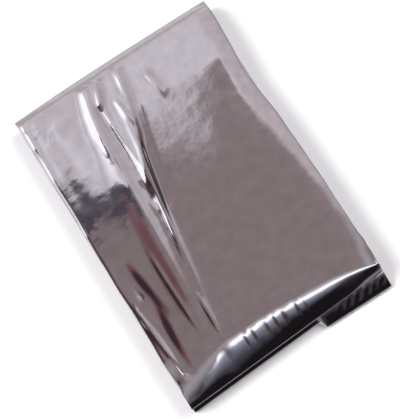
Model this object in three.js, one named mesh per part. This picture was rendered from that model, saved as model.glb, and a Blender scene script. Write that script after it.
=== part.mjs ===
// An emergency blanket of metallised film, folded into a flat pack that lies on its back.
//
// The film is pleated lengthwise into a strip as wide as the pack, and the strip is folded back and
// forth into eight runs, stacked from the bottom (level 0) to the top (level 7). The whole blanket is one
// closed solid: one continuous ply that follows this section, with air between its runs:
//
//      far end (+Y)                                        near end (-Y)
//        .--------------- level 7, the top face ----------------.
//        |        ------- level 6 --------.                       \
//        |      ,-------- level 5 --------'                        |   the roll, levels 7 and 4
//        |      '-------- level 4 --------------------------------'
//        |      ,-------- level 3 ------------------------------.
//        |      '-------- level 2 --------.                      \
//        |        ------- level 1 --------'                      /    the lower roll, levels 3 and 0
//        '--------------- level 0, lies on the surface ---------'
//
// Millimetres, +Z up, X across the pack, Y along it, origin under the middle of the pack.
import * as THREE from "three";

// ---- Driving dimensions ----
const WIDTH = 82; // across the pack, which is the strip's own width
const PLY = 1.0; // thickness of the pleated strip
const GAP = 0.6; // air between two runs in the middle of the pack
const TIGHT_GAP = 0.35; // air between two runs where the pack is pressed thin
const TOP_LEVEL = 7;
const ROLL_RADIUS = 0.85; // of the middle of the ply, where the roll turns under
const WAVE = { height: 0.1, across: 9, along: 17 }; // unevenness of the runs

// Where the pack is pressed thin, growing from the first place to the second, by a share of the whole way
// from the gap to the tight gap. Left is a place across the pack, far and near are places along it.
const PRESSED = {
  left: { from: -16, to: -42, share: 1 },
  far: { from: 38, to: 62, share: 0.55 },
  near: { from: -40, to: -54, share: 1, upToLevel: 4 },
};

// Where the top face starts to fall towards the roll: at this y near the middle of the pack, and nearer to
// the roll by the square of the distance from there.
const SHOULDER = { x: -2, y: -49.2, perSquare: 0.0008 };
const BEND = 0.22; // the share of the fall in which the face bends, before its nearly straight slope
const LATE_FALL = { from: -5, to: 41, power: 3 }; // on the right the face holds out, then drops steeply

// The right edge is drawn in a little, as if gripped there while the pack was pressed.
const GRIP = { y: 27, reach: 14, depth: 1.6, from: 30 };

// The lines along the top face that its creases and its grid follow, from left to right. A line has its
// place across the pack and its rise over the plain face at three stations: near the pack's far end, in its
// middle and near its near end.
const FAR_STATION = 55;
const NEAR_STATION = -48;
const TOP_LINES = [
  { name: "left edge", x: [-41, -41, -41], rise: [0, 0, 0] },
  { name: "left valley", x: [-36.5, -35.5, -35], rise: [0.1, 0, 0.1] },
  { name: "left swell", x: [-31, -31, -30.5], rise: [0.35, 0.5, 0.55] },
  { name: "broad valley", x: [-23.5, -25.5, -27], rise: [0.1, 0, 0] },
  { name: "left ridge", x: [-15.5, -20, -23], rise: [0.7, 1.0, 0.5] },
  { name: "narrow valley", x: [-12.6, -16.2, -20], rise: [0.1, 0, 0] },
  { name: "long pleat", x: [-8.8, -12.6, -17.6], rise: [0.8, 1.3, 0.4] },
  { name: "pleat foot", x: [-5, -9.4, -14], rise: [0, 0.1, 0] },
  { name: "short ridge", x: [-0.8, -2.8, -5], rise: [0.6, 0.05, 0] },
  { name: "ridge foot", x: [3.2, 2.4, 2], rise: [0, 0, 0] },
  { name: "plain face", x: [8, 7.5, 7], rise: [0, 0, 0] },
  { name: "left of the lower roll's corner", x: [12.4, 12.4, 12.4], rise: [0, 0, 0] },
  { name: "right of the lower roll's corner", x: [14, 14, 14], rise: [0, 0, 0] },
  { name: "plain face", x: [20, 20, 20], rise: [0, 0.05, 0] },
  { name: "plain face", x: [27, 27, 27], rise: [0, 0.1, 0] },
  { name: "plain face", x: [33, 33, 33], rise: [0, 0.05, 0] },
  { name: "right shoulder", x: [37.8, 37.8, 37.8], rise: [0, 0, 0] },
  { name: "right edge", x: [41, 41, 41], rise: [0, 0, 0] },
];
const CORNER = { left: 12.4, right: 14 }; // where the lower roll steps forward, between two of the lines

// The turns in the order in which the ply runs through them, from the free end inside level 6 to the one
// inside level 1. outer says whether the ply's outer side is on the outside of the turn. A turn reaches to
// a place along the pack that goes from left to right, and may bow out in between. The lower roll peeps
// out from under the roll left of its corner, and reaches to a place of its own on the right.
const TURNS = [
  { name: "inner fold", end: "near", from: 6, to: 5, outer: false, steps: 4, reach: [-43.7, -45.3, 0] },
  { name: "far fold", end: "far", from: 5, to: 4, outer: true, steps: 4, reach: [57.2, 58, 0] },
  { name: "roll", end: "near", from: 4, to: 7, outer: true, steps: 6, reach: [-62.7, -57.8, 0] },
  { name: "outer wrap", end: "far", from: 7, to: 0, outer: true, steps: 12, reach: [61.5, 61.7, 0.4] },
  { name: "lower roll", end: "near", from: 0, to: 3, outer: true, steps: 12, peep: [0.4, -62.8] },
  { name: "low far fold", end: "far", from: 3, to: 2, outer: true, steps: 4, reach: [58.8, 58, 0] },
  { name: "low inner fold", end: "near", from: 2, to: 1, outer: false, steps: 4, reach: [-50, -51, 0] },
];
const ROLL = TURNS.find((turn) => turn.name === "roll");

// The turns that end in a nose: half a superellipse, as deep as this along the pack. A squareness of 2 is
// an ellipse, more is blunt, and less is pointed.
const NOSES = {
  "outer wrap": { depth: 4.6, squareness: 2.6 },
  "lower roll": { depth: 4, squareness: 1.5 },
};
const FREE_ENDS = { 6: 55.5, 1: 54 }; // where the ply begins, in level 6, and stops, in level 1
const RUN_STEPS = 12; // grid steps along an inner run
const TOP_STEPS = 26; // grid steps along the top face and down the roll

const smooth = (a, b, v) => THREE.MathUtils.smoothstep((v - a) / (b - a), 0, 1);
const mix = THREE.MathUtils.lerp;

// The parabola through a line's values at the far station, the middle and the near station.
function along(y, [far, middle, near]) {
  const f = FAR_STATION;
  const n = NEAR_STATION;
  return (
    (far * y * (y - n)) / (f * (f - n)) +
    (middle * (y - f) * (y - n)) / (f * n) +
    (near * y * (y - f)) / (n * (n - f))
  );
}

// How far a turn reaches along the pack, at a place across it.
function reachOf(turn, x) {
  if (turn.peep) {
    const [pastRoll, right] = turn.peep;
    return mix(reachOf(ROLL, x) - pastRoll, right, smooth(CORNER.left, CORNER.right, x));
  }
  const [left, right, bulge] = turn.reach;
  const across = x / (WIDTH / 2);
  return mix(left, right, (across + 1) / 2) + bulge * (1 - across ** 2);
}

const shoulder = (x) => SHOULDER.y - SHOULDER.perSquare * (x - SHOULDER.x) ** 2;

// The gap under a run.
function gapAt(level, x, y) {
  const press = ({ from, to, share }, at) => 1 - share * smooth(from, to, at);
  const { left, far, near } = PRESSED;
  let open = press(left, x) * press(far, y);
  if (level <= near.upToLevel) open *= press(near, y);
  return mix(TIGHT_GAP, GAP, open);
}

// The height of the middle of a plain run.
function runHeight(level, x, y) {
  const gap = gapAt(level, x, y);
  const loose = (gap - TIGHT_GAP) / (GAP - TIGHT_GAP);
  const wave = Math.sin(x / WAVE.across + level * 2.1) * Math.cos(y / WAVE.along + level * 1.3);
  const uneven = level ? WAVE.height * loose * wave : 0;
  return PLY / 2 + level * (PLY + gap) + uneven;
}

// The top face's fall into the roll at a place across the pack, from 0 at the shoulder, where u is 0, to 1
// where the roll starts, and the slope that it has there.
const fallPower = (x) => mix(1, LATE_FALL.power, smooth(LATE_FALL.from, LATE_FALL.to, x));
const fall = (x, u) => ((Math.hypot(u, BEND) - BEND) / (Math.hypot(1, BEND) - BEND)) ** fallPower(x);
const lastSlope = (x) => fallPower(x) / Math.hypot(1, BEND) / (Math.hypot(1, BEND) - BEND);

// The roll at a place across the pack: where its slope ends and its tight turn starts.
function rollAt(x) {
  const centreY = reachOf(ROLL, x) + ROLL_RADIUS;
  const centreZ = runHeight(ROLL.from, x, centreY) + ROLL_RADIUS;
  const length = shoulder(x) - centreY;
  const drop = runHeight(TOP_LEVEL, x, shoulder(x)) - centreZ - ROLL_RADIUS;
  const slope = Math.atan((drop / length) * lastSlope(x));
  const startY = centreY - ROLL_RADIUS * Math.sin(slope);
  const startZ = centreZ + ROLL_RADIUS * Math.cos(slope);
  return { centreY, centreZ, slope, startY, startZ };
}

// The way in which a turn points: -1 at the near end, 1 at the far end.
const sideOf = (turn) => (turn.end === "near" ? -1 : 1);

// The centre line of a turn with a nose, from its first level to its last.
function noseSection(turn, x) {
  const { depth, squareness } = NOSES[turn.name];
  const side = sideOf(turn);
  const y = reachOf(turn, x) - side * depth;
  const heights = [turn.from, turn.to].map((level) => runHeight(level, x, y));
  const middle = (heights[0] + heights[1]) / 2;
  const half = (heights[1] - heights[0]) / 2;
  const power = (v, exponent) => Math.sign(v) * Math.abs(v) ** exponent;
  const points = [];
  for (let i = 0; i <= turn.steps; i++) {
    const angle = Math.PI * (i / turn.steps - 0.5);
    const c = power(Math.cos(angle), 2 / squareness);
    const s = power(Math.sin(angle), 2 / squareness);
    const ny = (side * power(c, squareness - 1)) / depth;
    const nz = power(s, squareness - 1) / half;
    const n = Math.hypot(ny, nz);
    points.push({ y: y + side * depth * c, z: middle + half * s, ny: ny / n, nz: nz / n });
  }
  return points;
}

// The circle that a plain turn follows between its two runs.
function plainArc(turn, x) {
  const reach = reachOf(turn, x);
  const heights = (y) => [runHeight(turn.from, x, y), runHeight(turn.to, x, y)];
  const [fromZ, toZ] = heights(reach);
  const centreY = reach - (sideOf(turn) * Math.abs(toZ - fromZ)) / 2;
  const [a, b] = heights(centreY);
  return { centreY, centreZ: (a + b) / 2, radius: Math.abs(b - a) / 2, last: Math.PI / 2 };
}

// The circle that the roll follows, up to where it meets the slope of the top face.
function rollArc(x) {
  const { centreY, centreZ, slope } = rollAt(x);
  return { centreY, centreZ, radius: ROLL_RADIUS, last: Math.PI / 2 - slope };
}

// A turn's centre line at a place across the pack, in the order in which the ply runs: points with the
// normal of the ply's outer side.
function turnSection(turn, x) {
  if (NOSES[turn.name]) return noseSection(turn, x);
  const arc = turn.name === "roll" ? rollArc(x) : plainArc(turn, x);
  const facing = turn.outer ? 1 : -1;
  const up = turn.to > turn.from ? 1 : -1;
  const points = [];
  for (let i = 0; i <= turn.steps; i++) {
    const angle = mix(-Math.PI / 2, arc.last, i / turn.steps) * up;
    const ny = sideOf(turn) * Math.cos(angle);
    const nz = Math.sin(angle);
    const y = arc.centreY + arc.radius * ny;
    const z = arc.centreZ + arc.radius * nz;
    points.push({ y, z, ny: facing * ny, nz: facing * nz });
  }
  return points;
}

// How strongly the crease lines hold at a place along the top face: they fade at the roll and the wrap.
const creased = (y) => smooth(-52, -44, y) * smooth(60, 56, y);

// How far the right edge is drawn in at a place on a run.
function grip(x, y) {
  const share = Math.max(0, (x - GRIP.from) / (WIDTH / 2 - GRIP.from));
  return GRIP.depth * share * Math.exp(-(((y - GRIP.y) / GRIP.reach) ** 2));
}

// The middle of the top face's ply, on one of its lines.
function topPoint(line, y) {
  const lineX = mix(line.x[1], along(y, line.x), creased(y));
  const x = lineX - grip(lineX, y);
  const roll = rollAt(x);
  const length = shoulder(x) - roll.startY;
  const start = runHeight(TOP_LEVEL, x, Math.max(y, shoulder(x)));
  const fallen = Math.max(0, (shoulder(x) - y) / length);
  const z = start - (start - roll.startZ) * fall(x, fallen) + along(y, line.rise) * creased(y);
  return { x, y, z };
}

// A run's centre line from one turn to the next, without its ends.
function runSection(level, line, fromY, toY) {
  const steps = level === TOP_LEVEL ? TOP_STEPS : RUN_STEPS;
  const points = [];
  for (let i = 1; i < steps; i++) {
    const y = mix(fromY, toY, i / steps);
    if (level === TOP_LEVEL) points.push(topPoint(line, y));
    else points.push({ x: line.x[1] - grip(line.x[1], y), y, z: runHeight(level, line.x[1], y) });
  }
  return points;
}

// The whole centre line at one line across the pack.
function section(line) {
  const x = line.x[1];
  const turns = TURNS.map((turn) => turnSection(turn, x));
  const freeEnd = (level) => ({ y: FREE_ENDS[level], z: runHeight(level, x, FREE_ENDS[level]) });
  const path = [freeEnd(TURNS[0].from)];
  TURNS.forEach((turn, i) => {
    const start = path[path.length - 1];
    path.push(...runSection(turn.from, line, start.y, turns[i][0].y));
    path.push(...turns[i]);
  });
  const lastLevel = TURNS[TURNS.length - 1].to;
  const stop = freeEnd(lastLevel);
  path.push(...runSection(lastLevel, line, path[path.length - 1].y, stop.y), stop);
  return path.map((p) => ({ x, ...p }));
}

// Gives each point of a run the normal of the ply's outer side, which is to the left of the way it runs.
function addNormals(path) {
  path.forEach((p, i) => {
    if (p.ny !== undefined) return;
    const before = path[Math.max(0, i - 1)];
    const after = path[Math.min(path.length - 1, i + 1)];
    const dy = after.y - before.y;
    const dz = after.z - before.z;
    const length = Math.hypot(dy, dz);
    p.ny = -dz / length;
    p.nz = dy / length;
  });
  return path;
}

// The closed solid: the outer and inner skins half a ply from the centre line, joined at the pack's two
// sides and at the ply's two ends.
function foldedPly() {
  const sections = TOP_LINES.map((line) => addNormals(section(line)));
  const rows = sections[0].length;
  const columns = sections.length;
  const positions = [];
  for (const offset of [PLY / 2, -PLY / 2]) {
    for (const path of sections) {
      for (const p of path) positions.push(p.x, p.y + offset * p.ny, p.z + offset * p.nz);
    }
  }
  const at = (skin, column, row) => (skin * columns + column) * rows + row;
  const faces = [];
  const quad = (a, b, c, d) => faces.push(a, b, c, a, c, d);
  for (let c = 0; c + 1 < columns; c++) {
    for (let r = 0; r + 1 < rows; r++) {
      quad(at(0, c, r), at(0, c + 1, r), at(0, c + 1, r + 1), at(0, c, r + 1));
      quad(at(1, c, r), at(1, c, r + 1), at(1, c + 1, r + 1), at(1, c + 1, r));
    }
    quad(at(0, c, 0), at(1, c, 0), at(1, c + 1, 0), at(0, c + 1, 0));
    quad(at(0, c, rows - 1), at(0, c + 1, rows - 1), at(1, c + 1, rows - 1), at(1, c, rows - 1));
  }
  for (let r = 0; r + 1 < rows; r++) {
    quad(at(0, 0, r), at(0, 0, r + 1), at(1, 0, r + 1), at(1, 0, r));
    const c = columns - 1;
    quad(at(0, c, r), at(1, c, r), at(1, c, r + 1), at(0, c, r + 1));
  }
  const geometry = new THREE.BufferGeometry();
  geometry.setAttribute("position", new THREE.Float32BufferAttribute(positions, 3));
  geometry.setIndex(faces);
  geometry.computeVertexNormals();
  return geometry;
}

const foil = new THREE.MeshStandardMaterial({ color: 0xb9b5b9, metalness: 1, roughness: 0.2 });
const blanket = new THREE.Mesh(foldedPly(), foil);
blanket.name = "foil_blanket";

// The rolls and the wrap reach unequally far, so the pack is centred on the origin by its own box.
blanket.geometry.computeBoundingBox();
const middle = blanket.geometry.boundingBox.getCenter(new THREE.Vector3());
blanket.position.set(-middle.x, -middle.y, -blanket.geometry.boundingBox.min.z);

const pack = new THREE.Group();
pack.add(blanket);

export default pack;
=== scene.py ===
# %% [markdown]
# # An emergency foil blanket, folded
#
# The real blanket is a sheet of metallised plastic film, thinner than a hair. A machine pleats it
# lengthwise into a strip as wide as a hand, and then folds that strip back and forth into a flat pack.
# Film this thin has no body of its own. What the eye reads is its mirror skin: every small tilt of the
# face picks another part of the room.
#
# It could be simulated as cloth, but a mirror shows each wobble of a solver. So the film is worked out
# instead, as one surface with two parameters: across the film, and along the strip. The lesson builds
# that surface, gives it creases and a metal skin, and lights it with large soft panels.

import bpy
import numpy as np
from mathutils import Matrix, Vector


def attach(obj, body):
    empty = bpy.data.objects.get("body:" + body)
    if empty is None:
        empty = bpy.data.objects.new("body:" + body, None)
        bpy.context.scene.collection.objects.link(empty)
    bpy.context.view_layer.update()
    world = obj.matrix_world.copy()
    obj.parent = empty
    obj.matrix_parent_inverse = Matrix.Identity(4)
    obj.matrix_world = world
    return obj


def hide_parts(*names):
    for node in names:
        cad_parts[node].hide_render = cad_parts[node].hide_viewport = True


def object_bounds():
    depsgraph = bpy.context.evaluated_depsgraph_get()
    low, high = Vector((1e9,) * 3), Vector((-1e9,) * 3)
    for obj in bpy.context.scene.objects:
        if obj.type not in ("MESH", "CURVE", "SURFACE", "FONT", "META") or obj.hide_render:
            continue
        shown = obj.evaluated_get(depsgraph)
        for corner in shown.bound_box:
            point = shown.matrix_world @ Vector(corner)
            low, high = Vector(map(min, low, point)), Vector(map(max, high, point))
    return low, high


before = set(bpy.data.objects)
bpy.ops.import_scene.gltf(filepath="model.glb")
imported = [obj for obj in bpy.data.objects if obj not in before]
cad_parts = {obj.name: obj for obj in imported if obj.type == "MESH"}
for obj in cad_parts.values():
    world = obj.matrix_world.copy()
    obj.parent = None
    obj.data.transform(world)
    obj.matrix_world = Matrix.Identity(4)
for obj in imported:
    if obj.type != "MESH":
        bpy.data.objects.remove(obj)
cad_box = [list(corner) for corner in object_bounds()]
print("the solid's box, in metres:", cad_box)

# %% [markdown]
# ## Sizes
#
# The folds are those of the solid that carries the part, so its driving dimensions are repeated here.
# They are millimetres, because film is a matter of tenths of one. The mesh is scaled to metres when it is
# made. X runs across the pack, Y along it, and Z is up. The strip runs through eight levels: level 0 lies
# on the surface, and level 7 is the top face.

# %% Sizes
MM = 0.001
WIDTH = 82.0
HALF_WIDTH = WIDTH / 2
PLY = 1.0  # thickness of the pleated strip
GAP = 0.6  # air between two runs in the middle of the pack
TIGHT_GAP = 0.35  # air between two runs where the pack is pressed thin
THIN_LEFT, THIN_NEAR = (-16, -42), (-40, -54)  # where the gap closes, towards the left and under the roll
THIN_FAR, THIN_FAR_SHARE = (38, 62), 0.55  # and, in part only, towards the far end
TOP_LEVEL = 7
UNDER_ROLL = 4  # the level that the roll rests on
ROLL_RADIUS = 0.85  # of the middle of the ply, where the roll turns under
WAVE_HEIGHT, WAVE_ACROSS, WAVE_ALONG = 0.1, 9.0, 17.0  # unevenness of the runs
PHASE_ACROSS, PHASE_ALONG = 2.1, 1.3  # how far it shifts from one level to the next
SHOULDER_X, SHOULDER_Y, SHOULDER_DROOP = -2.0, -49.2, 0.0008  # where the face starts to fall to the roll
EARLY, EARLY_FROM, EARLY_TO = 2.5, -23, -32  # at the left corner it starts that much earlier
HOLD, HOLD_FROM, HOLD_POWER = 0.048, 22, 1.6  # at the right corner it starts later and later
BEND = 0.22  # the share of that fall in which the face bends
FALL_POWER = 1.4  # how much steeper the fall gets as it goes down
LATE_FROM, LATE_TO, LATE_POWER = -5.0, 41.0, 3.0  # on the right the face holds out, then drops steeply
LEFT_FROM, LEFT_TO, LEFT_POWER = -20, -36, 2.2  # what the left corner adds to that power
CORNER_LEFT, CORNER_RIGHT = 12.4, 14.0  # where the lower roll steps forward
GRIP_Y, GRIP_REACH, GRIP_DEPTH, GRIP_FROM = 27.0, 14.0, 1.6, 30.0  # the drawn-in right edge

# The turns in the order in which the strip runs through them: the level it comes from and goes to, the
# end of the pack (-1 near, 1 far), and how far it reaches at the left edge, at the right edge and, as a
# bow, in between. The lower roll peeps out from under the roll left of its corner, and reaches to its own
# place on the right.
TURNS = {
    "inner fold": dict(end=-1, levels=(6, 5), steps=5, reach=(-43.7, -45.3, 0)),
    "far fold": dict(end=1, levels=(5, 4), steps=5, reach=(57.2, 58.0, 0)),
    "roll": dict(end=-1, levels=(4, 7), steps=10, reach=(-62.7, -57.8, 0)),
    "outer wrap": dict(end=1, levels=(7, 0), steps=18, reach=(61.5, 61.7, 0.4)),
    "lower roll": dict(end=-1, levels=(0, 3), steps=20, peep=(0.4, -62.8)),
    "low far fold": dict(end=1, levels=(3, 2), steps=5, reach=(58.8, 58.0, 0)),
    "low inner fold": dict(end=-1, levels=(2, 1), steps=5, reach=(-50.0, -51.0, 0)),
}
# The noses: depth, squareness (2 being an ellipse), and sag (1 being none).
NOSES = {"outer wrap": (4.6, 2.6, 1.0), "lower roll": (5.0, 1.3, 1.9)}
FREE_ENDS = {6: 55.5, 1: 54.0}  # where the strip begins, in level 6, and stops, in level 1
print("turns:", ", ".join(TURNS))

# %% [markdown]
# ## The section
#
# Seen from the side the pack is a line that goes back and forth. Each run is nearly flat. A small turn is
# half a circle. The two turns that hold several levels end in a nose, blunt at the far end and pointed at
# the near end. Above that nose lies the roll, where the top face falls in a slope before it tucks under.
# Every function here takes whole arrays, with the places across the pack down the rows, so that the
# section can change from left to right.

# %% Helpers
def eased(start, end, value):
    """0 up to start, 1 from end on, and in between three times the square less twice the cube."""
    share = np.clip((value - start) / (end - start), 0, 1)
    return share * share * (3 - 2 * share)


def mix(first, second, share):
    """The first value at share 0, the second at share 1, and a straight line between them."""
    return first + (second - first) * share


def signed_power(value, exponent):
    """The size of the value raised to the exponent, with the value's own sign."""
    return np.sign(value) * np.abs(value) ** exponent


# %% Heights of the runs
def gap_at(level, x, y):
    """The air under a run: the full gap, closing to the tight one where the pack is pressed."""
    open_share = (1 - eased(*THIN_LEFT, x)) * (1 - THIN_FAR_SHARE * eased(*THIN_FAR, y))
    if level <= UNDER_ROLL:
        open_share = open_share * (1 - eased(*THIN_NEAR, y))
    return mix(TIGHT_GAP, GAP, open_share)


def run_height(level, x, y):
    """Half a ply, plus the plies and gaps below, plus a wave that fades where the pack is tight."""
    gap = gap_at(level, x, y)
    loose = (gap - TIGHT_GAP) / (GAP - TIGHT_GAP)
    wave = np.sin(x / WAVE_ACROSS + level * PHASE_ACROSS) * np.cos(y / WAVE_ALONG + level * PHASE_ALONG)
    return PLY / 2 + level * (PLY + gap) + (WAVE_HEIGHT * loose * wave if level else 0)


def reach_of(name, x):
    """A line from the left reach to the right one, plus a bow that is a parabola. The lower roll steps
    from just in front of the roll to its own place."""
    turn = TURNS[name]
    if "peep" in turn:
        past_roll, right = turn["peep"]
        return mix(reach_of("roll", x) - past_roll, right, eased(CORNER_LEFT, CORNER_RIGHT, x))
    left, right, bow = turn["reach"]
    across = x / HALF_WIDTH
    return mix(left, right, (across + 1) / 2) + bow * (1 - across**2)


middle_heights = [round(float(run_height(level, 0, 0)), 2) for level in range(TOP_LEVEL + 1)]
print("heights of the runs in the middle, mm:", middle_heights)

# %% The roll
def shoulder(x):
    """The place where the fall starts: a constant less a share of the squared distance from the middle.
    It is earlier at the left corner by an eased step, and later at the right by a power of the distance
    past a line."""
    early = EARLY * eased(EARLY_FROM, EARLY_TO, x)
    late = HOLD * np.maximum(x - HOLD_FROM, 0) ** HOLD_POWER
    return SHOULDER_Y - SHOULDER_DROOP * (x - SHOULDER_X) ** 2 + early - late


def fall_power(x):
    """Rising to the right, where the face holds out longer, and at the left corner."""
    right = mix(FALL_POWER, LATE_POWER, eased(LATE_FROM, LATE_TO, x))
    return right + LEFT_POWER * eased(LEFT_FROM, LEFT_TO, x)


def fall(x, u):
    """A hyperbola from 0 at the shoulder to 1 at the roll, raised to the power of that place."""
    return ((np.hypot(u, BEND) - BEND) / (np.hypot(1, BEND) - BEND)) ** fall_power(x)


def roll_at(x):
    """The circle of the roll, which rests on the level below, and the slope that meets it as a tangent."""
    centre_y = reach_of("roll", x) + ROLL_RADIUS
    centre_z = run_height(UNDER_ROLL, x, centre_y) + ROLL_RADIUS
    drop = run_height(TOP_LEVEL, x, shoulder(x)) - centre_z - ROLL_RADIUS
    steepness = fall_power(x) / np.hypot(1, BEND) / (np.hypot(1, BEND) - BEND)
    slope = np.arctan(drop / (shoulder(x) - centre_y) * steepness)
    return centre_y, centre_z, slope


across_pack = {"left": -HALF_WIDTH, "middle": 0, "right": HALF_WIDTH}
print("the fall starts at y, mm:", {side: round(float(shoulder(x)), 1) for side, x in across_pack.items()})

# %% The turns
def nose_section(name, x):
    """Half a superellipse between the turn's two levels: powers of a cosine and a sine. The sag is a
    power of the height's share, which brings the tip nearer to the lower level."""
    turn, (depth, squareness, sag) = TURNS[name], NOSES[name]
    y = reach_of(name, x) - turn["end"] * depth
    first, last = (run_height(level, x, y) for level in turn["levels"])
    low, high = np.minimum(first, last), np.maximum(first, last)
    angle = np.pi * (np.arange(turn["steps"] + 1) / turn["steps"] - 0.5)
    c = signed_power(np.cos(angle), 2 / squareness)
    s = signed_power(np.sin(angle), 2 / squareness) * np.sign(last - first)
    return y + turn["end"] * depth * c, low + (high - low) * ((1 + s) / 2) ** sag


def turn_section(name, x):
    """A nose, or an arc of a circle between two runs: half a circle, or for the roll as much of one as
    meets its slope."""
    if name in NOSES:
        return nose_section(name, x)
    turn = TURNS[name]
    level_from, level_to = turn["levels"]
    if name == "roll":
        centre_y, centre_z, slope = roll_at(x)
        radius, last = ROLL_RADIUS, np.pi / 2 - slope
    else:
        reach = reach_of(name, x)
        rise = np.abs(run_height(level_to, x, reach) - run_height(level_from, x, reach))
        centre_y = reach - turn["end"] * rise / 2
        low, high = run_height(level_from, x, centre_y), run_height(level_to, x, centre_y)
        centre_z, radius, last = (low + high) / 2, np.abs(high - low) / 2, np.pi / 2
    share = np.arange(turn["steps"] + 1) / turn["steps"]
    angle = mix(-np.pi / 2, last, share) * (1 if level_to > level_from else -1)
    return centre_y + radius * turn["end"] * np.cos(angle), centre_z + radius * np.sin(angle)


print("reach of the turns in the middle, mm:", {name: round(float(reach_of(name, 0)), 1) for name in TURNS})

# %% [markdown]
# ## The creases of the face
#
# A face this flat is told by its creases. Each one is a row of a table: where it starts and ends along
# the pack, its place across the pack at its far end, in its middle and at its near end, its height (a
# trough is negative), its width to the left and to the right of its crest, and how sharp that crest is.
# The broad ones are the solid's own folds and move the whole ply. The fine ones are in the film alone.

# %% The crease tables
BROAD_CREASES = [
    # name, far y, far fade, near y, near fade, x far, x middle, x near, height, left, right, sharpness
    ("left swell", 62, 20, -56, 20, -30, -31, -30.5, 0.16, 5.0, 6.0, 2.0),
    ("far left ridge", 61, 6, 18, 22, -11.4, -16.4, -15.9, 0.76, 2.6, 2.6, 1.7),
    ("left ridge", 40, 24, -50, 26, -16.4, -19.2, -22.2, 0.82, 4.5, 2.6, 1.7),
    ("long pleat", 50, 18, -50, 30, -3.6, -11.9, -18.7, 0.42, 2.4, 1.8, 1.6),
    ("upper pleat", 54, 14, 0, 22, -3.0, -6.6, -11.9, 0.38, 4.4, 2.2, 1.7),
    ("short ridge", 61, 6, -2, 50, 0.6, -5.6, -19.5, 0.46, 1.4, 1.9, 1.7),
]
FINE_CREASES = [
    ("white line", 51, 4, 6, 14, -11.3, -10.9, -10.9, 0.26, 0.6, 1.8, 1.6),
    ("dark line", 51, 4, 6, 14, -12.8, -12.8, -12.8, -0.13, 0.5, 0.6, 1.6),
    ("blob", 16, 5, 3, 5, -13.4, -13.4, -13.6, -0.2, 0.8, 0.7, 2.0),
    ("thin line", 17, 8, -22, 20, -10.0, -12.8, -15.9, 0.2, 0.4, 1.4, 1.5),
    ("second streak", 60, 4, 45, 5, -7.6, -9.8, -11.6, 0.62, 1.4, 2.0, 1.6),
    ("third streak", 50, 6, 33, 9, -5.8, -5.2, -4.2, 0.27, 1.1, 1.0, 1.6),
    ("tick", 52, 5, 36, 12, 8.0, 9.4, 9.7, 0.31, 0.9, 1.9, 1.7),
    ("wedge", 31, 8, -16, 22, -4.6, -9.2, -13.4, -0.24, 1.0, 1.1, 1.6),
    ("red edge", -4, 14, -46, 14, -24.6, -24.7, -23.8, 0.15, 0.5, 0.9, 1.6),
    ("near line", -27, 8, -52, 12, -17.9, -18.1, -18.3, 0.34, 0.8, 1.0, 1.6),
    ("left dent", -5, 11, -38, 24, -35.2, -33.4, -30.0, -0.45, 3.4, 2.3, 2.6),
    ("left lower dent", -21, 14, -56, 22, -33.2, -34.9, -34.8, -0.45, 3.2, 2.3, 2.6),
    ("lower left fold", -18, 14, -55, 4, -39.3, -38.2, -35.8, 0.42, 0.9, 1.2, 1.6),
    ("notch", -43, 3, -53, 3, -11.2, -11.2, -11.2, -0.14, 0.5, 0.5, 1.6),
    ("edge dent", 32, 5, 18, 5, 37.4, 37.2, 37.2, -0.14, 0.9, 1.0, 1.6),
]


def crease(x, y, row):
    """A parabola through three places gives the crest line. The height falls off from it as e to the
    power of minus the distance over the width, raised to the sharpness, and eases to 0 at both ends."""
    _, far_y, far_fade, near_y, near_fade, far_x, middle_x, near_x, height, left, right, sharpness = row
    along = (y - near_y) / (far_y - near_y) * 2 - 1
    crest = middle_x + (far_x - near_x) / 2 * along + ((far_x + near_x) / 2 - middle_x) * along**2
    width = np.where(x < crest, left, right)
    profile = np.exp(-np.abs((x - crest) / width) ** sharpness)
    ends = eased(near_y, near_y + near_fade, y) * eased(far_y, far_y - far_fade, y)
    return height * profile * ends


def creases(x, y, rows):
    """The sum of all the rows of a table. Where two creases meet, their heights add up."""
    return sum(crease(x, y, row) for row in rows)


print("creases:", len(BROAD_CREASES), "broad ones and", len(FINE_CREASES), "fine ones")

# %% Soft unevenness
def soft_waves(x, y, seed, count, longest, shortest):
    """Many plane waves added up, over the root of their number. Each has a random direction and phase,
    and a height in proportion to its length, so that all of them tilt the film alike."""
    rng = np.random.default_rng(seed)
    total = 0
    for length in np.geomspace(longest, shortest, count):
        direction, phase = rng.uniform(0, 2 * np.pi, 2)
        place = (x * np.cos(direction) + y * np.sin(direction)) * 2 * np.pi / length
        total = total + length / longest * np.sin(place + phase)
    return total / np.sqrt(count)


# %% [markdown]
# ## Puckers
#
# Where film is bent round a fold it has to be shorter inside than outside, and it puckers. Two rows of
# puckers show: shallow scallops along the shoulder of the top face, and slanted wrinkles on the lower
# roll. Both are waves across the pack with a window round them. Their pitch drifts, because no two
# puckers are alike.

# %% Puckers of the shoulder and the lower roll
# Heights and pitches, and pairs of places: where a pucker is nothing, and where it has its full height.
SCALLOP = dict(height=0.045, pitch=4.1, drift=11.0, left=(-16, -11), right=(15, 9), top=-1.0)
SCALLOP_START, SCALLOP_END = (0, 2.6), (9.0, 3.5)  # below its top
WRINKLE = dict(height=0.26, pitch=3.3, drift=17.0, left=(18, 23), right=(40.5, 39), slant=-1.1)
WRINKLE_FRONT, WRINKLE_FOOT = (-57.5, -59.5), (2.3, 3.0)  # along the pack, and up the roll
DRIFT = 0.9  # how far the phase is pushed, in radians
CREST_ROUNDING = 0.02


def drifting_wave(place, pitch, drift):
    """A sine whose phase is pushed to and fro by a slower sine."""
    return np.sin(2 * np.pi * place / pitch + DRIFT * np.sin(2 * np.pi * place / drift))


def sharpened(wave):
    """1 less twice the root of how far the wave is below its crest, which makes its crests narrow."""
    return 1 - 2 * np.sqrt((1 - wave) / 2 + CREST_ROUNDING)


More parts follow.
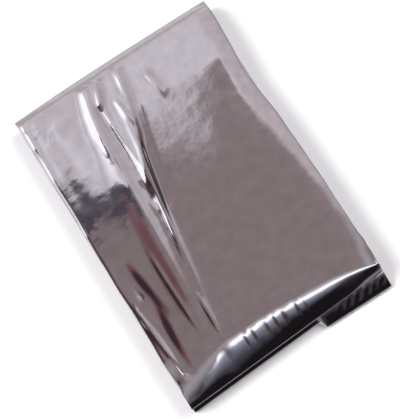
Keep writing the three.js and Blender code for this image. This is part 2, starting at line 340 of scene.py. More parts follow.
def scallops(x, y):
    """Waves across the pack that start at the shoulder, are deepest soon below it, and fade out."""
    below = shoulder(x) + SCALLOP["top"] - y
    window = eased(*SCALLOP["left"], x) * eased(*SCALLOP["right"], x)
    depth = eased(*SCALLOP_START, below) * eased(*SCALLOP_END, below)
    return SCALLOP["height"] * window * depth * drifting_wave(x, SCALLOP["pitch"], SCALLOP["drift"])


def wrinkles(x, y, z):
    """Waves across the lower roll that slant with its height, above its lowest part only."""
    window = eased(*WRINKLE["left"], x) * eased(*WRINKLE["right"], x) * eased(*WRINKLE_FRONT, y)
    window = window * eased(*WRINKLE_FOOT, z)
    wave = drifting_wave(x + WRINKLE["slant"] * z, WRINKLE["pitch"], WRINKLE["drift"])
    return WRINKLE["height"] * window * sharpened(wave)


print("pitch of the scallops and of the wrinkles, mm:", SCALLOP["pitch"], WRINKLE["pitch"])

# %% [markdown]
# ## The strip's own path
#
# Now the section is walked from one free end of the strip to the other, run by run and turn by turn. The
# result is three arrays: place across the pack, place along it, and height. The last two also give the
# direction in which the strip's outer side faces. The grid is fine on the top face and down the roll,
# which a buyer sees, and coarse in the hidden runs. On the face its lines lean along with the creases, so
# that no crease is cut into steps by a grid line that crosses it.

# %% The path
RUN_STEPS = 6
ROLL_STEPS, ROLL_SHARE = 40, 0.13  # the part of the top run that falls into the roll
FACE_STEPS = 108
LEAN_MIDDLE, LEAN_HALF = 1, 53  # the middle of the leaning lines, and half their length
LEAN_ENDS, LEAN_BOW = 5.5, 0.1  # how far they lean at their ends, and how much they bend
LEAN_LEFT, LEAN_RIGHT, LEAN_NEAR, LEAN_FAR = (-39, -24), (10, -6), (-54, -46), (60, 52)  # where it fades
CREASED_NEAR, CREASED_FAR = (-53, -46), (60, 56)  # where the broad creases fade out


def run_shares(level):
    """The places of a run's inner grid lines, as shares of its length."""
    if level != TOP_LEVEL:
        return np.arange(1, RUN_STEPS) / RUN_STEPS
    roll_part = np.arange(1, ROLL_STEPS) / ROLL_STEPS * ROLL_SHARE
    face_part = mix(ROLL_SHARE, 1, np.arange(FACE_STEPS) / FACE_STEPS)
    return np.concatenate([roll_part, face_part])


def lean(x, y):
    """How far the face's grid lines lean to one side: along with the long pleat, less and less towards
    both sides of the pack, and not at all at the ends of the face."""
    along = (y - LEAN_MIDDLE) / LEAN_HALF
    course = LEAN_ENDS * along - LEAN_BOW * along**2
    sides = eased(*LEAN_LEFT, x) * eased(*LEAN_RIGHT, x)
    return course * sides * eased(*LEAN_NEAR, y) * eased(*LEAN_FAR, y)


def top_height(x, y, start_y, start_z):
    """The plain face up to the shoulder, and past it the fall, down to where the roll starts."""
    edge = shoulder(x)
    level_z = run_height(TOP_LEVEL, x, np.maximum(y, edge))
    fallen = np.clip((edge - y) / (edge - start_y), 0, None)
    return level_z - (level_z - start_z) * fall(x, fallen)


def run_section(level, x, start, end, outer):
    """A straight row of places along Y between two turns, each at its run's height. Only the outer leaf
    of the top run has the creases: the leaves under it lie flat."""
    y = mix(start[0], end, run_shares(level))
    if level != TOP_LEVEL:
        return x + 0 * y, y, run_height(level, x, y)
    leaning = x + lean(x, y)
    held = outer * eased(*CREASED_NEAR, y) * eased(*CREASED_FAR, y)
    z = top_height(leaning, y, *start) + held * creases(leaning, y, BROAD_CREASES)
    return leaning, y, z


def strip_path(x, outer):
    """All the sections after one another, and for each grid line the level or turn that it is on."""
    turns = {name: turn_section(name, x) for name in TURNS}
    parts, places = [], []

    def add(part, place):
        parts.append(np.broadcast_arrays(*part))
        places.extend([place] * parts[-1][1].shape[1])

    def free_end(level):
        y = np.full_like(x, FREE_ENDS[level])
        return x, y, run_height(level, x, y)

    first, last = FREE_ENDS
    add(free_end(first), first)
    for name, turn in TURNS.items():
        start = [part[:, -1:] for part in parts[-1][1:]]
        add(run_section(turn["levels"][0], x, start, turns[name][0][:, :1], outer), turn["levels"][0])
        add((x, *turns[name]), name)
    start = [part[:, -1:] for part in parts[-1][1:]]
    add(run_section(last, x, start, free_end(last)[1], outer), last)
    add(free_end(last), last)
    xs, ys, zs = (np.hstack(arrays) for arrays in zip(*parts))
    return xs, ys, zs, np.array([str(place) for place in places])


def outward(y, z):
    """The tangent from both neighbours, each weighted by the other's distance, turned to the left."""
    dy, dz = np.diff(y, axis=1), np.diff(z, axis=1)
    step = np.hypot(dy, dz)
    ty = np.hstack([dy[:, :1], dy[:, 1:] * step[:, :-1] / step[:, 1:], dy[:, -1:]])
    tz = np.hstack([dz[:, :1], dz[:, 1:] * step[:, :-1] / step[:, 1:], dz[:, -1:]])
    ty[:, 1:-1] += dy[:, :-1] * step[:, 1:] / step[:, :-1]
    tz[:, 1:-1] += dz[:, :-1] * step[:, 1:] / step[:, :-1]
    size = np.hypot(ty, tz)
    return -tz / size, ty / size


print("grid lines on the top run:", len(run_shares(TOP_LEVEL)), "and on a hidden run:", len(run_shares(0)))

# %% [markdown]
# ## The leaves
#
# The strip isn't one thickness: it is the blanket pleated lengthwise. Four leaves stand for its sixteen
# or so. The film starts inside at the left, goes right, turns back, goes left, turns over, crosses as the
# outer leaf, wraps the right edge, and ends below. Cut across, that is a flat coil, and it is why one long
# side of such a pack shows round folds and the other shows leaf edges.

# %% The film's way across the strip
LEAF_OFFSETS = {"inner": -0.15, "second": 0.15, "outer": 0.45, "under": -0.45}  # from the ply's middle
FACE_LEFT, CREASED_LIMIT, FACE_RIGHT = -40.55, 12.0, 40.3  # of the outer leaf's creased and plain parts
LEFT_COLUMNS, RIGHT_COLUMNS = 118, 28  # in each of the two
LEAF_COLUMNS = 6  # in each of the other leaves
INNER_EDGE, UNDER_EDGE = -40.2, -40.6  # where the film starts, and where it ends
NESTED = 0.9  # how far the inner turn stays within the right edge
TIGHT_ARC_STEPS, WRAP_ARC_STEPS = 4, 7


def face_columns():
    """Places across the outer leaf, closer on the creased left side."""
    left = mix(FACE_LEFT, CREASED_LIMIT, np.arange(LEFT_COLUMNS) / LEFT_COLUMNS)
    right = mix(CREASED_LIMIT, FACE_RIGHT, np.arange(RIGHT_COLUMNS) / (RIGHT_COLUMNS - 1))
    return np.concatenate([left, right])


def leaf_columns(start, end):
    """Places from one edge to the other, crowded towards both by a cosine."""
    share = (1 - np.cos(np.pi * np.arange(LEAF_COLUMNS) / (LEAF_COLUMNS - 1))) / 2
    return mix(start, end, share)


def arc(centre_x, centre_w, radius, start, end, steps):
    """Points inside an arc, without its two ends."""
    angle = np.radians(mix(start, end, np.arange(1, steps) / steps))
    return centre_x + radius * np.cos(angle), centre_w + radius * np.sin(angle)


def film_across():
    """The place across the pack and the offset from the strip's middle, from edge to edge of the film."""
    o = LEAF_OFFSETS
    inner_r = (o["second"] - o["inner"]) / 2
    outer_r = (o["outer"] - o["under"]) / 2
    left_r = (o["outer"] - o["second"]) / 2
    right_x, nested_x, left_x = HALF_WIDTH - outer_r, HALF_WIDTH - NESTED, -HALF_WIDTH + left_r
    parts = [
        (leaf_columns(INNER_EDGE, nested_x), o["inner"]),
        arc(nested_x, 0, inner_r, -90, 90, TIGHT_ARC_STEPS),
        (leaf_columns(nested_x, left_x), o["second"]),
        arc(left_x, (o["second"] + o["outer"]) / 2, left_r, 270, 90, TIGHT_ARC_STEPS),
        (np.concatenate([[left_x], face_columns(), [right_x]]), o["outer"]),
        arc(right_x, 0, outer_r, 90, -90, WRAP_ARC_STEPS),
        (leaf_columns(right_x, UNDER_EDGE), o["under"]),
    ]
    x = np.concatenate([part[0] for part in parts])
    w = np.concatenate([np.broadcast_to(part[1], part[0].shape) for part in parts])
    return x, w


print("grid lines across the film:", len(film_across()[0]))

# %% [markdown]
# ## One sheet
#
# Path and leaves together give the film: a point goes to its place across the pack, along the path, and
# out from the strip's middle by its leaf's offset. The fine creases and the unevenness move the outer leaf
# along its own normal. The leaves under it have few grid lines, so they lie flat and well below it, or
# they would show through in its troughs. Film that is held only by its folds also droops at its edges, and
# no fold lies quite straight above the next one.

# %% The film's edges
ABOUT_STRIP = 925.0  # the strip's length, roughly
# Waves of the folds along both sides: height, length along the strip, and shift between the sides.
SIDE_WAVES = [(1.0, 23.0, 1), (0.6, 9.1, 2), (0.4, 61.0, 0)]
SIDE_SCALE, SIDE_REACH = 0.1, 8.0
# Droops: the line past which each starts, how steep or deep it is, and pairs of places for eased steps.
LEFT_EDGE = dict(start=-39.1, near=0.09, far_more=0.14, change=(8, 18))
RIGHT_EDGE = dict(start=34, droop=0.012)
LEFT_CORNER = dict(start=-29, width=12, droop=0.8, near=(-39, -53))
RIGHT_CORNER = dict(start=30, width=11, droop=0.5, near=(-36, -52))
FAR_EDGE = dict(start=58.0, slope=0.14, bend=0.4)


def side_wander(x, path_count, side):
    """How much the folds of a side fall short of a straight edge: slow waves along the strip, which
    never reach past that edge."""
    along = np.linspace(0, ABOUT_STRIP, path_count)[None, :]
    waves = sum(height * np.sin(along / length + shift * side) for height, length, shift in SIDE_WAVES)
    highest = sum(height for height, _, _ in SIDE_WAVES)
    near_edge = eased(HALF_WIDTH - SIDE_REACH, HALF_WIDTH, side * x)
    return -side * near_edge * SIDE_SCALE * (highest + waves)


def gripped(x, y):
    """How far the right edge is drawn in: a bell along the pack times a ramp towards the edge."""
    bell = np.exp(-(((y - GRIP_Y) / GRIP_REACH) ** 2))
    return GRIP_DEPTH * bell * np.clip((x - GRIP_FROM) / (HALF_WIDTH - GRIP_FROM), 0, None)


def corner_droop(x, y, side, start, width, droop, near):
    """A parabola: the square of the distance past the start over the width, times an eased step along
    the pack."""
    return droop * (np.clip(side * (x - start), 0, None) / width * eased(*near, y)) ** 2


def drooping_edges(x, y):
    """Parabolas down towards the left edge, the right edge and both near corners, and past a line near
    the far end a plane, which joins the face in a hyperbola."""
    steepness = LEFT_EDGE["near"] + LEFT_EDGE["far_more"] * eased(*LEFT_EDGE["change"], y)
    left = steepness * np.clip(LEFT_EDGE["start"] - x, 0, None) ** 2
    corner = corner_droop(x, y, 1, **RIGHT_CORNER)
    corner = corner + corner_droop(x, y, -1, **LEFT_CORNER)
    past = y - FAR_EDGE["start"]
    far = FAR_EDGE["slope"] * (past + np.hypot(past, FAR_EDGE["bend"]))
    right = RIGHT_EDGE["droop"] * np.clip(x - RIGHT_EDGE["start"], 0, None) ** 2
    return -left - corner - far - right


print("droop at the middle of the right edge, mm:", round(float(-drooping_edges(HALF_WIDTH, 0)), 2))

# %% The film's surface
CRINKLE_HEIGHT, CRINKLE_WAVES = 0.07, dict(seed=9, count=14, longest=9, shortest=3.5)
CRINKLE_LEFT, CRINKLE_NEAR, CRINKLE_FAR = (-24, -32), (42, 50), (60, 57)  # where they fade out
UNEVEN_HEIGHT, UNEVEN_WAVES = 0.011, dict(seed=4, count=40, longest=30, shortest=5)
TOP_FROM, TOP_FULL = 8, 10.5  # the heights between which the relief of the top face begins
PRESSED = 0.35  # how far the leaves under the outer one are pressed down
FLAT_SIDES, FLAT_NEAR, FLAT_FAR = (41, 38), (-44, -38), (56, 50)  # where that fades out


def far_crinkles(x, y):
    """Short waves in the far left corner, where the pleats start."""
    window = eased(*CRINKLE_LEFT, x) * eased(*CRINKLE_NEAR, y) * eased(*CRINKLE_FAR, y)
    return CRINKLE_HEIGHT * window * soft_waves(x, y, **CRINKLE_WAVES)


def film_relief(x, y, z, places):
    """The fine creases, the puckers and the unevenness, each only on the level or turn that it is on."""
    on_top = np.isin(places, [str(TOP_LEVEL), "outer wrap"])[None, :] & (z > TOP_FROM)
    on_lower_roll = np.isin(places, ["lower roll", str(TURNS["lower roll"]["levels"][1])])[None, :]
    top = creases(x, y, FINE_CREASES) + scallops(x, y) + drooping_edges(x, y) + far_crinkles(x, y)
    top = top + UNEVEN_HEIGHT * soft_waves(x, y, **UNEVEN_WAVES)
    top = np.where(on_top, top * eased(TOP_FROM, TOP_FULL, z), 0)
    return top + np.where(on_lower_roll, wrinkles(x, y, z), 0)


def film_surface():
    """Place = path + offset x outward direction, with X drawn in at the grip and along both sides. The
    relief grows from nothing on the underside of the ply to its full height on the outer leaf. Away from
    the edges of the top run the other leaves are pressed flat instead, clear of the deepest trough."""
    across, offset = film_across()
    w = offset[:, None]
    under, second, top = (LEAF_OFFSETS[leaf] for leaf in ("under", "second", "outer"))
    outer = np.clip((w - second) / (top - second), 0, 1)
    x, y, z, places = strip_path(across[:, None], outer)
    ny, nz = outward(y, z)
    relief = (w - under) / (top - under) * film_relief(x, y, z, places)
    flat = (1 - outer) * (places == str(TOP_LEVEL))[None, :]
    flat = flat * eased(*FLAT_SIDES, np.abs(x)) * eased(*FLAT_NEAR, y) * eased(*FLAT_FAR, y)
    shift = w + mix(relief, -PRESSED, flat)
    wander = side_wander(x, y.shape[1], 1) + side_wander(x, y.shape[1], -1)
    points = np.stack([x - gripped(x, y) + wander, y + shift * ny, z + shift * nz], axis=-1)
    return points, across, offset, y, z


points, across, offset, path_y, path_z = film_surface()
strip_steps = np.hypot(np.diff(path_y, axis=1), np.diff(path_z, axis=1)).mean(axis=0)
strip_along = np.concatenate([[0], np.cumsum(strip_steps)])
film_steps = np.hypot(np.diff(across), np.diff(offset))
film_along = np.concatenate([[0], np.cumsum(film_steps)])
print("grid:", points.shape)
print("strip length, mm:", round(strip_along[-1], 1), "film width, mm:", round(film_along[-1], 1))

# %% The mesh
def grid_mesh(name, grid, u, v):
    """A quad between each four neighbours of the grid, with u and v as its film coordinates."""
    rows, columns = grid.shape[:2]
    index = np.arange(rows * columns).reshape(rows, columns)
    corners = index[:-1, :-1], index[1:, :-1], index[1:, 1:], index[:-1, 1:]
    quads = np.stack(corners, axis=-1).reshape(-1, 4)
    mesh = bpy.data.meshes.new(name)
    mesh.vertices.add(rows * columns)
    mesh.vertices.foreach_set("co", grid.reshape(-1))
    mesh.loops.add(quads.size)
    mesh.loops.foreach_set("vertex_index", quads.reshape(-1))
    mesh.polygons.add(len(quads))
    mesh.polygons.foreach_set("loop_start", np.arange(0, quads.size, 4))
    mesh.polygons.foreach_set("use_smooth", np.ones(len(quads), bool))
    mesh.update(calc_edges=True)
    film = np.stack(np.broadcast_arrays(u[:, None], v[None, :]), axis=-1).reshape(-1, 2)
    layer = mesh.uv_layers.new(name="film")
    layer.data.foreach_set("uv", film[quads.reshape(-1)].reshape(-1))
    mesh.validate()
    piece = bpy.data.objects.new(name, mesh)
    bpy.context.scene.collection.objects.link(piece)
    return piece


# The sheet is centred along the solid's box and lies on the bottom of it. Real film is thinner still,
# about 0.012 mm.
FILM_THICKNESS = 0.04
low, high = np.array(cad_box[0]), np.array(cad_box[1])
grid = points * MM
grid[..., 1] += (low[1] + high[1]) / 2 - (grid[..., 1].min() + grid[..., 1].max()) / 2
grid[..., 2] += low[2] - grid[..., 2].min() + FILM_THICKNESS / 2 * MM
blanket = grid_mesh("blanket_film", grid, film_along / strip_along[-1], strip_along / strip_along[-1])
skin = blanket.modifiers.new("film thickness", "SOLIDIFY")
skin.thickness = FILM_THICKNESS * MM
skin.offset = 0
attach(blanket, "root")
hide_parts("foil_blanket")
print("quads:", len(blanket.data.polygons))

# %% [markdown]
# ## The metal skin
#
# The film is polyester under a layer of aluminium a few hundred atoms thick, so it mirrors like polished
# metal and is a little darker. Handling leaves a faint haze in clouds, and creases too fine for the mesh.
# Both are made from noise on the film's own coordinates, so that they lie in the film and turn with its
# folds.

# %% The film's material
HAZE = dict(scale=140, detail=3)
SMOOTHEST, ROUGHEST = 0.035, 0.075  # the roughness between the clouds of haze, and in them
CLOUDS = dict(scale=210, detail=4)
DARK_METAL, PALE_METAL = (0.73, 0.725, 0.745, 1), (0.86, 0.835, 0.85, 1)
FINE_RELIEF = dict(scale=260, detail=2, roughness=0.4)
FINE_HEIGHT = 0.000011  # in metres
NOISE_LOW, NOISE_HIGH = 0.3, 0.7  # the middle of the noise's range

film = bpy.data.materials.new("metallised film")
film.use_nodes = True
nodes, links = film.node_tree.nodes, film.node_tree.links
shader = nodes["Principled BSDF"]
shader.inputs["Metallic"].default_value = 1
coordinates = nodes.new("ShaderNodeUVMap")
coordinates.uv_map = "film"


def film_noise(scale, detail, roughness=0.5):
    """Noise on the film's coordinates, with a scale in features per strip length."""
    node = nodes.new("ShaderNodeTexNoise")
    links.new(coordinates.outputs["UV"], node.inputs["Vector"])
    node.inputs["Scale"].default_value = scale
    node.inputs["Detail"].default_value = detail
    node.inputs["Roughness"].default_value = roughness
    return node.outputs["Fac"]


def ramped(value, low_value, high_value):
    """The middle of the noise's range spread out between two values."""
    node = nodes.new("ShaderNodeMapRange")
    links.new(value, node.inputs["Value"])
    node.inputs["From Min"].default_value = NOISE_LOW
    node.inputs["From Max"].default_value = NOISE_HIGH
    node.inputs["To Min"].default_value = low_value
    node.inputs["To Max"].default_value = high_value
    return node.outputs["Result"]


links.new(ramped(film_noise(**HAZE), SMOOTHEST, ROUGHEST), shader.inputs["Roughness"])
tint = nodes.new("ShaderNodeMix")
tint.data_type = "RGBA"
tint.inputs[6].default_value = DARK_METAL
tint.inputs[7].default_value = PALE_METAL
links.new(ramped(film_noise(**CLOUDS), 0, 1), tint.inputs[0])
links.new(tint.outputs[2], shader.inputs["Base Color"])
bump = nodes.new("ShaderNodeBump")
bump.inputs["Strength"].default_value = 1
bump.inputs["Distance"].default_value = FINE_HEIGHT
links.new(film_noise(**FINE_RELIEF), bump.inputs["Height"])
links.new(bump.outputs["Normal"], shader.inputs["Normal"])
blanket.data.materials.append(film)
print("nodes in the film's material:", len(nodes))

# %% [markdown]
# ## The stage
#
# A real one would be a sheet of white card. The film doesn't mirror the floor itself. What it sees below
# the horizon comes from the room, so that the lamps' pool of light on the card doesn't show in it.

# %% Floor
FLOOR_SIZE = 6
PAINT = (0.93, 0.93, 0.93, 1)
PAINT_ROUGHNESS = 0.9

bpy.ops.mesh.primitive_plane_add(size=FLOOR_SIZE)
floor = bpy.context.object
floor.name = "floor"
floor.visible_glossy = False
paint = bpy.data.materials.new("floor paint")
paint.use_nodes = True
paint.node_tree.nodes["Principled BSDF"].inputs["Base Color"].default_value = PAINT
paint.node_tree.nodes["Principled BSDF"].inputs["Roughness"].default_value = PAINT_ROUGHNESS
floor.data.materials.append(paint)
print("floor, metres across:", FLOOR_SIZE)

# %% [markdown]
# ## The room
#
# Silver is shown off by arranging what it mirrors, with large pale panels and a few dark cards. The
# same is done here, but the panels and cards are drawn on the world around the pack, as bands of colour
# over the direction. So their edges can be as soft as wanted, and nothing stands in the way of the camera.
#
# A direction is told by two slopes off straight up. Slope a runs to the right: the part along X over the
# part along Z. Slope b runs to the far side: the part along Y over the length of the other two.

# %% The room's own nodes
RAMP_LIMIT = 2.0  # the bands of colour reach this slope to both sides
FLATTEST = 0.02  # keeps the slopes finite at the horizon

world = bpy.data.worlds.new("studio")
bpy.context.scene.world = world
world.use_nodes = True
tree = world.node_tree
tree.nodes.clear()


def math_node(operation, *values):
    """One step of arithmetic on sockets or numbers."""
    node = tree.nodes.new("ShaderNodeMath")
    node.operation = operation
    for socket, value in zip(node.inputs, values):
        if isinstance(value, bpy.types.NodeSocket):
            tree.links.new(value, socket)
        else:
            socket.default_value = value
    return node.outputs[0]


def plus(first, second):
    """The sum of two sockets or numbers."""
    return math_node("ADD", first, second)


def times(first, second):
    """The product of two sockets or numbers."""
    return math_node("MULTIPLY", first, second)


def held_between(value, lowest, highest):
    """The value, but never under the lowest nor over the highest."""
    return math_node("MINIMUM", math_node("MAXIMUM", value, lowest), highest)


def ramp_node(value, start, end):
    """0 up to start, 1 from end on, eased in between."""
    node = tree.nodes.new("ShaderNodeMapRange")
    node.interpolation_type = "SMOOTHERSTEP"
    tree.links.new(value, node.inputs["Value"])
    node.inputs["From Min"].default_value = start
    node.inputs["From Max"].default_value = end
    return node.outputs[0]


def mixed(first, second, share):
    """The first colour at share 0, the second at share 1."""
    node = tree.nodes.new("ShaderNodeMix")
    node.data_type = "RGBA"
    tree.links.new(share, node.inputs[0])
    for socket, value in ((node.inputs[6], first), (node.inputs[7], second)):
        if isinstance(value, bpy.types.NodeSocket):
            tree.links.new(value, socket)
        else:
            socket.default_value = (*value, 1)
    return node.outputs[2]


def band_node(value, stops):
    """A colour ramp over slopes from one limit to the other."""
    place = tree.nodes.new("ShaderNodeMapRange")
    tree.links.new(value, place.inputs["Value"])
    place.inputs["From Min"].default_value = -RAMP_LIMIT
    place.inputs["From Max"].default_value = RAMP_LIMIT
    node = tree.nodes.new("ShaderNodeValToRGB")
    tree.links.new(place.outputs[0], node.inputs[0])
    elements = node.color_ramp.elements
    while len(elements) < len(stops):
        elements.new(0.5)
    for element, (slope, shade) in zip(elements, stops):
        element.position = (slope + RAMP_LIMIT) / (2 * RAMP_LIMIT)
        element.color = (*shade, 1)
    return node.outputs[0]


direction = tree.nodes.new("ShaderNodeTexCoord").outputs["Generated"]
parts = tree.nodes.new("ShaderNodeSeparateXYZ")
tree.links.new(direction, parts.inputs[0])
to_right, to_far, upward = (parts.outputs[axis] for axis in "XYZ")
slope_a = math_node("DIVIDE", to_right, math_node("MAXIMUM", upward, FLATTEST))
level_part = math_node("SQRT", plus(math_node("POWER", to_right, 2), math_node("POWER", upward, 2)))
slope_b = math_node("DIVIDE", to_far, math_node("MAXIMUM", level_part, FLATTEST))
print("nodes for the two slopes:", len(tree.nodes))

# %% [markdown]
# ## The bands of colour
#
# Four bands tell what hangs in the room. The flat part of the face looks into the grey field, and past
# its upper edge into the pale ceiling. The flanks of the ridges look further to one side, into the dark
# and dull red parts. The roll at the near end looks down the near side, from the strip of light to black.

# %% The bands
FACE_BAND = [
    # slope a, colour: the grey field and what hangs beside it, from left to right
    (-2.0, (0.60, 0.57, 0.60)),
    (-0.98, (0.98, 0.96, 1.00)),
    (-0.88, (0.60, 0.54, 0.58)),
    (-0.80, (0.035, 0.026, 0.030)),
    (-0.58, (0.045, 0.030, 0.034)),
    (-0.52, (0.065, 0.042, 0.048)),
    (-0.47, (0.150, 0.070, 0.084)),
    (-0.42, (0.188, 0.088, 0.104)),
    (-0.37, (0.200, 0.116, 0.129)),
    (-0.32, (0.237, 0.188, 0.193)),
    (-0.10, (0.250, 0.208, 0.208)),
    (0.00, (0.258, 0.204, 0.208)),
    (0.08, (0.262, 0.208, 0.212)),
    (0.24, (0.275, 0.222, 0.228)),
    (0.35, (0.40, 0.36, 0.39)),
    (0.43, (0.40, 0.36, 0.39)),
    (0.54, (0.23, 0.19, 0.20)),
    (0.68, (0.14, 0.11, 0.12)),
    (0.84, (0.050, 0.040, 0.050)),
    (1.05, (0.06, 0.05, 0.06)),
    (1.3, (0.50, 0.48, 0.52)),
    (2.0, (0.55, 0.53, 0.56)),
]
CEILING_BAND = [
    # slope a, colour: the ceiling, from left to right
    (-2.0, (0.80, 0.78, 0.82)),
    (-1.2, (1.20, 1.18, 1.25)),
    (-0.47, (1.28, 1.26, 1.34)),
    (-0.41, (0.98, 0.96, 1.03)),
    (-0.34, (0.78, 0.76, 0.85)),
    (-0.27, (0.60, 0.53, 0.56)),
    (-0.22, (0.72, 0.71, 0.80)),
    (-0.17, (0.60, 0.54, 0.575)),
    (-0.05, (0.64, 0.60, 0.65)),
    (0.02, (0.67, 0.63, 0.69)),
    (0.07, (0.64, 0.59, 0.64)),
    (0.16, (0.56, 0.50, 0.53)),
    (0.35, (0.52, 0.47, 0.50)),
    (0.60, (0.42, 0.38, 0.41)),
    (0.80, (0.20, 0.18, 0.20)),
    (1.05, (0.10, 0.09, 0.10)),
    (1.3, (0.50, 0.48, 0.52)),
    (2.0, (0.50, 0.46, 0.48)),
]
NEAR_LEFT_BAND = [
    # slope b, colour: the near side at the left, past the end of the strip of light
    (-2.0, (0.020, 0.016, 0.017)),
    (-0.90, (0.052, 0.040, 0.042)),
    (-0.55, (0.065, 0.052, 0.054)),
    (-0.32, (0.16, 0.145, 0.155)),
    (-0.14, (0.30, 0.285, 0.305)),
    (0.03, (0.38, 0.355, 0.37)),
    (0.16, (0.255, 0.21, 0.212)),
]
NEAR_BAND = [
    # slope b, colour: the near side with the strip of light, from the horizon up
    (-2.0, (0.010, 0.009, 0.010)),
    (-1.15, (0.012, 0.010, 0.012)),
    (-0.85, (0.070, 0.066, 0.088)),
    (-0.60, (0.185, 0.180, 0.230)),
    (-0.40, (0.33, 0.335, 0.42)),
    (-0.31, (0.80, 0.82, 0.95)),
    (-0.24, (1.55, 1.55, 1.65)),
    (-0.13, (1.60, 1.60, 1.68)),
    (-0.06, (0.85, 0.84, 0.89)),
    (0.02, (0.50, 0.47, 0.50)),
    (0.16, (0.30, 0.26, 0.27)),
]
ALL_BANDS = (FACE_BAND, CEILING_BAND, NEAR_LEFT_BAND, NEAR_BAND)
print("stops in the bands:", [len(band) for band in ALL_BANDS])

# %% [markdown]
# ## Where each band is seen
#
# The ceiling starts where slope b passes an edge. Seen in a flat mirror that edge would be a straight
# line. It leans to the far side over the right half of the face, and past it, and the other way for what
# the flanks of the slanting ridges see. A dark card hangs at the left just under it.

# %% The ceiling and the dark card
# Pairs are the slopes where a change starts and where it is complete. A lean starts at its own slope a,
# grows up to its most, and moves the edge by a share of that.
CEILING_FROM, CEILING_TO = 0.325, 0.367
RIGHT_LEAN = dict(start=0.008, most=0.037, share=1.25, fade=(0.08, 0.055))
OUTER_LEAN = dict(start=0.05, most=0.5, share=0.25)
LEFT_LEAN = dict(start=0.25, most=0.4, share=0.06)
CARD_LEFT, CARD_RIGHT = (-0.50, -0.45), (-0.10, -0.13)
CARD_LOW, CARD_TOP = (0.325, 0.329), (0.354, 0.347)
CARD_LOW_LEAN, CARD_TOP_LEAN = 0.12, 0.25
CARD_COLOUR = (0.056, 0.052, 0.071)
FAR_PANEL, FAR_PANEL_EDGE = (0.66, 0.57, 0.60), (0.80, 0.90)

on_right = held_between(plus(slope_a, -RIGHT_LEAN["start"]), 0, RIGHT_LEAN["most"])
right_lean = times(times(on_right, RIGHT_LEAN["share"]), ramp_node(slope_a, *RIGHT_LEAN["fade"]))
on_left = held_between(plus(slope_a, LEFT_LEAN["start"]), -LEFT_LEAN["most"], 0)
past_right = held_between(plus(slope_a, -OUTER_LEAN["start"]), 0, OUTER_LEAN["most"])
over_edge = math_node("SUBTRACT", slope_b, right_lean)
over_edge = plus(over_edge, times(on_left, LEFT_LEAN["share"]))
over_edge = plus(over_edge, times(past_right, OUTER_LEAN["share"]))
ceiling_share = ramp_node(over_edge, CEILING_FROM, CEILING_TO)
colour = mixed(band_node(slope_a, FACE_BAND), band_node(slope_a, CEILING_BAND), ceiling_share)

card = times(ramp_node(slope_a, *CARD_LEFT), ramp_node(slope_a, *CARD_RIGHT))
card = times(card, ramp_node(plus(slope_b, times(on_left, CARD_LOW_LEAN)), *CARD_LOW))
card = times(card, ramp_node(plus(slope_b, times(on_left, CARD_TOP_LEAN)), *CARD_TOP))
colour = mixed(colour, CARD_COLOUR, card)
colour = mixed(colour, FAR_PANEL, ramp_node(slope_b, *FAR_PANEL_EDGE))
print("the ceiling starts at slope b:", CEILING_FROM)

# %% [markdown]
# The near side is a sector that narrows towards the horizon. A strip of light hangs in its upper part
# and ends at the left. Beside the sector the room is a plain dull grey. Below the horizon lies a pale
# table, with a dark card on its near side.

# %% The near side and the table
NEAR_EDGE, NEAR_LEAN = (0.17, 0.13), 0.13
NEAR_WIDTH, NEAR_HEIGHT, SECTOR_SOFTNESS = 0.85, 0.75, 0.1
STRIP_END = (-0.14, -0.01)
BESIDE, BESIDE_EDGE = (0.20, 0.18, 0.19), (0.0, -0.3)
FAR_WALL, FAR_WALL_EDGE = (0.5, 0.46, 0.48), (1.2, 1.6)
TABLE = (0.62, 0.60, 0.61)
TABLE_CARD_FAR, TABLE_CARD_NEAR = (0.012, 0.010, 0.012), (0.26, 0.23, 0.245)
TABLE_CARD_EDGE = (-0.35, -0.62)
NEAR_SIDE_LEAN, NEAR_SIDE_EDGE = 0.8, (-0.05, -0.3)
HORIZON = (0.02, -0.04)

off_middle = math_node("ABSOLUTE", to_right)
sector = plus(off_middle, times(math_node("MINIMUM", to_far, 0), NEAR_WIDTH))
sector = math_node("SUBTRACT", sector, times(math_node("MAXIMUM", upward, 0), NEAR_HEIGHT))
near_b = plus(slope_b, times(math_node("MAXIMUM", slope_a, 0), NEAR_LEAN))
in_sector = ramp_node(sector, SECTOR_SOFTNESS, -SECTOR_SOFTNESS)
near_colour = band_node(slope_b, NEAR_LEFT_BAND)
near_colour = mixed(near_colour, band_node(slope_b, NEAR_BAND), ramp_node(slope_a, *STRIP_END))
colour = mixed(colour, near_colour, times(ramp_node(near_b, *NEAR_EDGE), in_sector))
beside_sector = ramp_node(sector, -SECTOR_SOFTNESS, SECTOR_SOFTNESS)
colour = mixed(colour, BESIDE, times(ramp_node(slope_b, *BESIDE_EDGE), beside_sector))
colour = mixed(colour, FAR_WALL, ramp_node(slope_b, *FAR_WALL_EDGE))

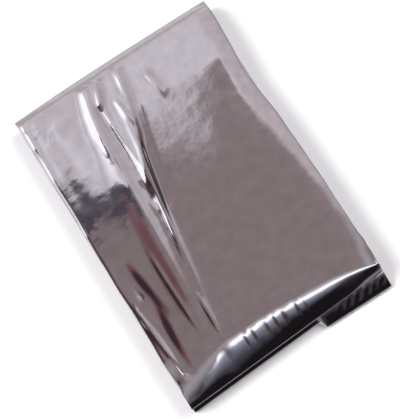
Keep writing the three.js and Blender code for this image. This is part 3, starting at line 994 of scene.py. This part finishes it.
near_side = plus(to_far, times(off_middle, NEAR_SIDE_LEAN))
table_card = mixed(TABLE_CARD_FAR, TABLE_CARD_NEAR, ramp_node(upward, *TABLE_CARD_EDGE))
table = mixed(TABLE, table_card, ramp_node(near_side, *NEAR_SIDE_EDGE))
colour = mixed(colour, table, ramp_node(upward, *HORIZON))
background = tree.nodes.new("ShaderNodeBackground")
tree.links.new(colour, background.inputs["Color"])
output = tree.nodes.new("ShaderNodeOutputWorld")
tree.links.new(background.outputs[0], output.inputs["Surface"])
print("nodes in the room:", len(tree.nodes))

# %% [markdown]
# ## Lamps
#
# The room alone would leave the floor dull. Two large square lamps light it and give the pack its soft
# shadow. The film doesn't mirror them.

# %% Lamps for the floor
def lamp(name, place, size, power):
    """A square lamp that faces the middle of the pack. Its size is in metres, its power in watts."""
    data = bpy.data.lights.new(name, "AREA")
    data.shape = "SQUARE"
    data.size = size
    data.energy = power
    light = bpy.data.objects.new(name, data)
    bpy.context.scene.collection.objects.link(light)
    light.location = place
    light.rotation_euler = (-Vector(place)).to_track_quat("-Z", "Y").to_euler()
    light.visible_glossy = False
    return light


lamps = [
    lamp("key lamp", place=(-1.2, 0.6, 1.8), size=1.2, power=38),
    lamp("fill lamp", place=(1.4, 0.2, 1.6), size=1.4, power=26),
]
bpy.context.scene.view_settings.view_transform = "Standard"
print("lamps:", [light.name for light in lamps])

# %% [markdown]
# ## The camera
#
# It looks down steeply through a long lens, so that the pack's sides stay nearly parallel, and it is
# rolled, so that the pack lies aslant in the frame.

# %% Camera
ELEVATION = np.radians(73)
ROLL = np.radians(-32.69)
DISTANCE = 0.70
LENS = 169.6
TARGET = Vector((-0.0012, -0.0030, 0.006))

back = Vector((0, -np.cos(ELEVATION), np.sin(ELEVATION)))
camera = bpy.data.objects.new("camera", bpy.data.cameras.new("camera"))
bpy.context.scene.collection.objects.link(camera)
camera.location = TARGET + back * DISTANCE
camera.rotation_mode = "QUATERNION"
facing = (-back).to_track_quat("-Z", "Y")
camera.rotation_quaternion = facing @ Matrix.Rotation(ROLL, 4, "Z").to_quaternion()
camera.data.lens = LENS
camera.data.sensor_fit = "AUTO"
bpy.context.scene.camera = camera
print("camera at, metres:", [round(value, 3) for value in camera.location])
